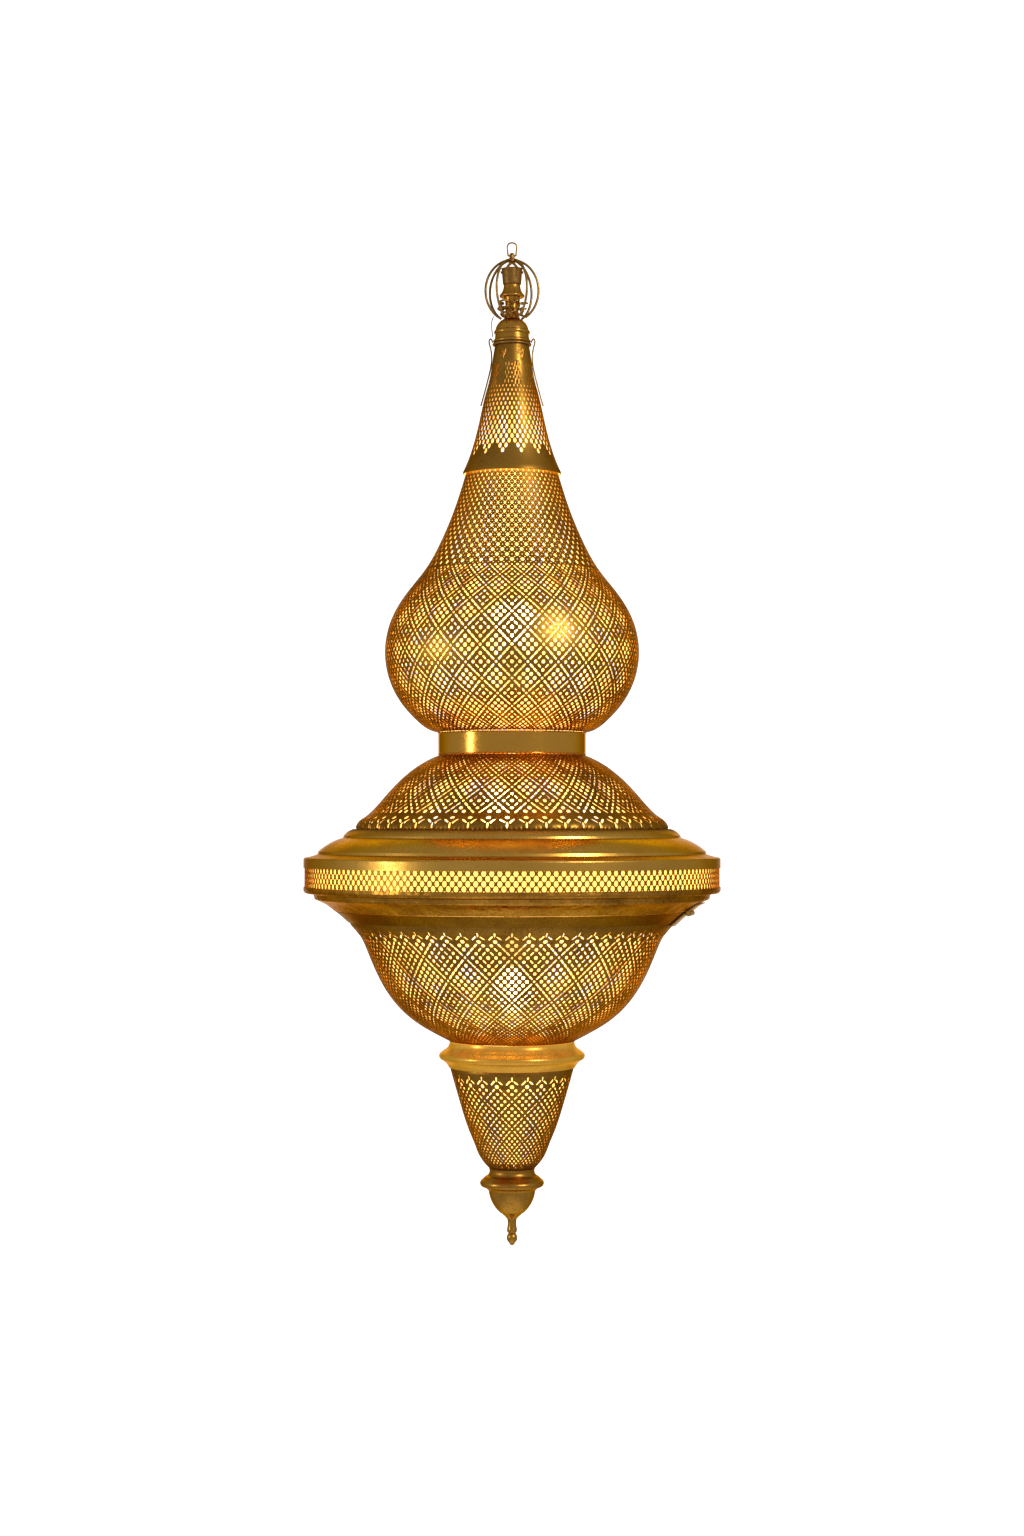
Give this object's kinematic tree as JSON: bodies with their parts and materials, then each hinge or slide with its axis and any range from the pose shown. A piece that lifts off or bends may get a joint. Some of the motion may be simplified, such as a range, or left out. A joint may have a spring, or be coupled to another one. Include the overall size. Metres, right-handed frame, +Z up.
{
  "type": "hanging lantern",
  "caption": "Tall hanging lantern of pierced brass: a hooded onion body over a wide stepped drum, a hinged round bowl, a tapering tail and a drop finial, lit from inside.",
  "frame": {"origin": "the hang point: the highest point inside the hanging loop, on the lantern's axis", "axes": "+Z up along the lantern's axis; the front faces -Y and the bowl's hinge stands near +X"},
  "size_m": [0.46, 0.46, 1.1103],
  "materials": {
    "pierced_brass": "antique satin, pierced and lightly hammered",
    "aged_brass": "antique satin",
    "dark_brass": "dark patina",
    "brass_wire": "drawn wire, tarnished",
    "parchment": "translucent heat-proof parchment",
    "opal_glass": "frosted warm",
    "lamp_cap": "pressed thread",
    "porcelain": "glazed",
    "lead_sleeve": "matt",
    "bakelite": "moulded",
    "plated_steel": "brass-plated steel"
  },
  "bodies": {
    "loop": {"hanging_loop": "brass_wire"},
    "lantern": {"band_liner": "parchment", "binding_wire": "brass_wire", "bracket_middle": "plated_steel", "bracket_upper": "plated_steel", "cap_bead": "aged_brass", "collar_screws": "plated_steel", "cone_cap": "pierced_brass", "cord_bush": "bakelite", "crown_hoop_wide": "brass_wire", "crown_hoops_inner": "brass_wire", "crown_knot": "brass_wire", "dome_cap": "aged_brass", "drum_spider": "plated_steel", "finial_cup": "dark_brass", "finial_vase": "aged_brass", "hanger_strap": "brass_wire", "hinge_fixed_leaf": "dark_brass", "hinge_pin": "dark_brass", "holder_coupler": "plated_steel", "lampholder_lower": "porcelain", "lampholder_middle": "porcelain", "lampholder_upper": "porcelain", "lattice_band": "pierced_brass", "lead_middle": "lead_sleeve", "lead_upper": "lead_sleeve", "lower_flange": "aged_brass", "main_rod": "plated_steel", "neck_band": "aged_brass", "neck_sleeve": "aged_brass", "neck_spider": "plated_steel", "onion_shell": "pierced_brass", "rod_nuts": "plated_steel", "rod_washers": "plated_steel", "shoulder_dome": "pierced_brass", "strap_rivets": "brass_wire", "terminal_block": "bakelite", "tie_ring": "brass_wire", "tie_wires": "brass_wire", "upper_flange": "aged_brass"},
    "bowl": {"bowl_rim": "aged_brass", "bowl_shell": "pierced_brass", "bowl_ring": "aged_brass", "tail_spider": "plated_steel", "tail_rod": "plated_steel", "tail_nuts": "plated_steel", "tail_cone": "pierced_brass", "tail_ring": "aged_brass", "acorn_cup": "aged_brass", "finial_drop": "aged_brass", "hinge_door_leaf": "dark_brass", "catch_spring": "dark_brass"},
    "upper_bulb": {"bulb_base_upper": "lamp_cap", "bulb_glass_upper": "opal_glass"},
    "middle_bulb": {"bulb_base_middle": "lamp_cap", "bulb_glass_middle": "opal_glass"},
    "lower_bulb": {"bulb_base_lower": "lamp_cap", "bulb_glass_lower": "opal_glass"}
  },
  "joints": [
    {"name": "lantern_swing", "type": "hinge", "parent": "loop", "child": "lantern", "pos_m": [0, 0, -0.0136], "axis": [1, 0, 0], "range_deg": [-30, 30]},
    {"name": "bowl_swing", "type": "hinge", "parent": "lantern", "child": "bowl", "pos_m": [0.19426, -0.04129, -0.7416], "axis": [-0.2079, -0.9781, 0], "range_deg": [0, 90]},
    {"name": "upper_bulb_out", "type": "slide", "parent": "lantern", "child": "upper_bulb", "axis": [0, 0, 1], "range_m": [0, 0.024]},
    {"name": "middle_bulb_out", "type": "slide", "parent": "lantern", "child": "middle_bulb", "axis": [0, 0, 1], "range_m": [0, 0.024]},
    {"name": "lower_bulb_out", "type": "slide", "parent": "lantern", "child": "lower_bulb", "axis": [0, 0, -1], "range_m": [0, 0.024]}
  ]
}
